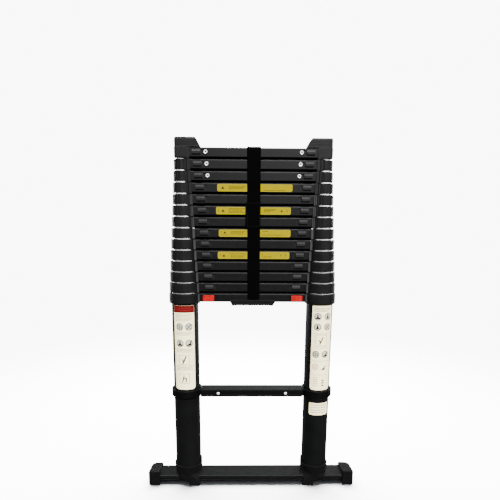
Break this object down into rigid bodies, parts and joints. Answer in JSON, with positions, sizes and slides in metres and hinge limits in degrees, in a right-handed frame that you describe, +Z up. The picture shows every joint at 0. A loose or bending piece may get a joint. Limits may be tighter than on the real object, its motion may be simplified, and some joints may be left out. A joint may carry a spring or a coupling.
{
  "type": "telescoping ladder",
  "caption": "Telescoping ladder standing collapsed: rungs on nested tubes that slide out of two base tubes, with a middle rung, a stabiliser bar, end caps and a strap.",
  "frame": {"origin": "on the floor, midway between the two base tubes, under the middle of the ladder's depth", "axes": "+Z up, along the slides; +X along the rungs to the right seen from the front; -Y to the front"},
  "size_m": [0.6524, 0.0922, 1.0481],
  "materials": {
    "black_tube": "satin black powder coat on aluminium",
    "bare_tube": "satin anodised",
    "rung_plastic": "fine-grained black",
    "cap_plastic": "fine-grained black",
    "cap_rubber": "matt",
    "boot_rubber": "matt",
    "bar_metal": "satin black powder coat on aluminium",
    "button_red": "semi-gloss",
    "slide_grey": "matt charcoal",
    "strap_web": "woven webbing"
  },
  "bodies": {
    "base": {"base_tube_left": "black_tube", "base_tube_right": "black_tube", "rung_base": "rung_plastic", "rung_middle": "rung_plastic", "carry_handle": "rung_plastic", "stabiliser_bar": "bar_metal", "end_cap_left": "cap_rubber", "end_cap_right": "cap_rubber", "tube_boot_left": "boot_rubber", "tube_boot_right": "boot_rubber"},
    "section_01": {"rung_01": "rung_plastic", "tube_left_01": "bare_tube", "tube_right_01": "bare_tube"},
    "section_02": {"rung_02": "rung_plastic", "tube_left_02": "bare_tube", "tube_right_02": "bare_tube"},
    "section_03": {"rung_03": "rung_plastic", "tube_left_03": "bare_tube", "tube_right_03": "bare_tube"},
    "section_04": {"rung_04": "rung_plastic", "tube_left_04": "bare_tube", "tube_right_04": "bare_tube"},
    "section_05": {"rung_05": "rung_plastic", "tube_left_05": "bare_tube", "tube_right_05": "bare_tube"},
    "section_06": {"rung_06": "rung_plastic", "tube_left_06": "bare_tube", "tube_right_06": "bare_tube"},
    "section_07": {"rung_07": "rung_plastic", "tube_left_07": "bare_tube", "tube_right_07": "bare_tube"},
    "section_08": {"rung_08": "rung_plastic", "tube_left_08": "bare_tube", "tube_right_08": "bare_tube"},
    "section_09": {"rung_09": "rung_plastic", "tube_left_09": "bare_tube", "tube_right_09": "bare_tube"},
    "section_10": {"rung_10": "rung_plastic", "tube_left_10": "bare_tube", "tube_right_10": "bare_tube"},
    "section_11": {"rung_11": "rung_plastic", "tube_left_11": "bare_tube", "tube_right_11": "bare_tube"},
    "section_12": {"rung_12": "rung_plastic", "tube_left_12": "bare_tube", "tube_right_12": "bare_tube"},
    "section_13": {"rung_13": "rung_plastic", "tube_left_13": "bare_tube", "tube_right_13": "bare_tube", "top_cap_left": "cap_plastic", "top_cap_right": "cap_plastic"},
    "button_left": {"release_button_left": "button_red"},
    "button_right": {"release_button_right": "button_red"},
    "thumb_left_11": {"thumb_slide_left_11": "slide_grey"},
    "thumb_right_11": {"thumb_slide_right_11": "slide_grey"},
    "thumb_left_12": {"thumb_slide_left_12": "slide_grey"},
    "thumb_right_12": {"thumb_slide_right_12": "slide_grey"},
    "thumb_left_13": {"thumb_slide_left_13": "slide_grey"},
    "thumb_right_13": {"thumb_slide_right_13": "slide_grey"},
    "strap": {"strap": "strap_web"}
  },
  "joints": [
    {"name": "section_01_slide", "type": "slide", "parent": "base", "child": "section_01", "axis": [0, 0, 1], "range_m": [0, 0.2687]},
    {"name": "section_02_slide", "type": "slide", "parent": "section_01", "child": "section_02", "axis": [0, 0, 1], "range_m": [0, 0.2687]},
    {"name": "section_03_slide", "type": "slide", "parent": "section_02", "child": "section_03", "axis": [0, 0, 1], "range_m": [0, 0.2687]},
    {"name": "section_04_slide", "type": "slide", "parent": "section_03", "child": "section_04", "axis": [0, 0, 1], "range_m": [0, 0.2687]},
    {"name": "section_05_slide", "type": "slide", "parent": "section_04", "child": "section_05", "axis": [0, 0, 1], "range_m": [0, 0.2687]},
    {"name": "section_06_slide", "type": "slide", "parent": "section_05", "child": "section_06", "axis": [0, 0, 1], "range_m": [0, 0.2687]},
    {"name": "section_07_slide", "type": "slide", "parent": "section_06", "child": "section_07", "axis": [0, 0, 1], "range_m": [0, 0.2687]},
    {"name": "section_08_slide", "type": "slide", "parent": "section_07", "child": "section_08", "axis": [0, 0, 1], "range_m": [0, 0.2687]},
    {"name": "section_09_slide", "type": "slide", "parent": "section_08", "child": "section_09", "axis": [0, 0, 1], "range_m": [0, 0.2687]},
    {"name": "section_10_slide", "type": "slide", "parent": "section_09", "child": "section_10", "axis": [0, 0, 1], "range_m": [0, 0.2687]},
    {"name": "section_11_slide", "type": "slide", "parent": "section_10", "child": "section_11", "axis": [0, 0, 1], "range_m": [0, 0.2687]},
    {"name": "section_12_slide", "type": "slide", "parent": "section_11", "child": "section_12", "axis": [0, 0, 1], "range_m": [0, 0.2687]},
    {"name": "section_13_slide", "type": "slide", "parent": "section_12", "child": "section_13", "axis": [0, 0, 1], "range_m": [0, 0.2687]},
    {"name": "button_left_slide", "type": "slide", "parent": "base", "child": "button_left", "axis": [1, 0, 0], "range_m": [0, 0.008], "stiffness_N_per_m": 250},
    {"name": "button_right_slide", "type": "slide", "parent": "base", "child": "button_right", "axis": [-1, 0, 0], "range_m": [0, 0.008], "stiffness_N_per_m": 250},
    {"name": "thumb_left_11_slide", "type": "slide", "parent": "section_11", "child": "thumb_left_11", "axis": [1, 0, 0], "range_m": [0, 0.008], "stiffness_N_per_m": 250},
    {"name": "thumb_right_11_slide", "type": "slide", "parent": "section_11", "child": "thumb_right_11", "axis": [-1, 0, 0], "range_m": [0, 0.008], "stiffness_N_per_m": 250},
    {"name": "thumb_left_12_slide", "type": "slide", "parent": "section_12", "child": "thumb_left_12", "axis": [1, 0, 0], "range_m": [0, 0.008], "stiffness_N_per_m": 250},
    {"name": "thumb_right_12_slide", "type": "slide", "parent": "section_12", "child": "thumb_right_12", "axis": [-1, 0, 0], "range_m": [0, 0.008], "stiffness_N_per_m": 250},
    {"name": "thumb_left_13_slide", "type": "slide", "parent": "section_13", "child": "thumb_left_13", "axis": [1, 0, 0], "range_m": [0, 0.008], "stiffness_N_per_m": 250},
    {"name": "thumb_right_13_slide", "type": "slide", "parent": "section_13", "child": "thumb_right_13", "axis": [-1, 0, 0], "range_m": [0, 0.008], "stiffness_N_per_m": 250},
    {"name": "strap_lift", "type": "slide", "parent": "section_13", "child": "strap", "axis": [0, 0, 1], "range_m": [0, 0.46]}
  ]
}
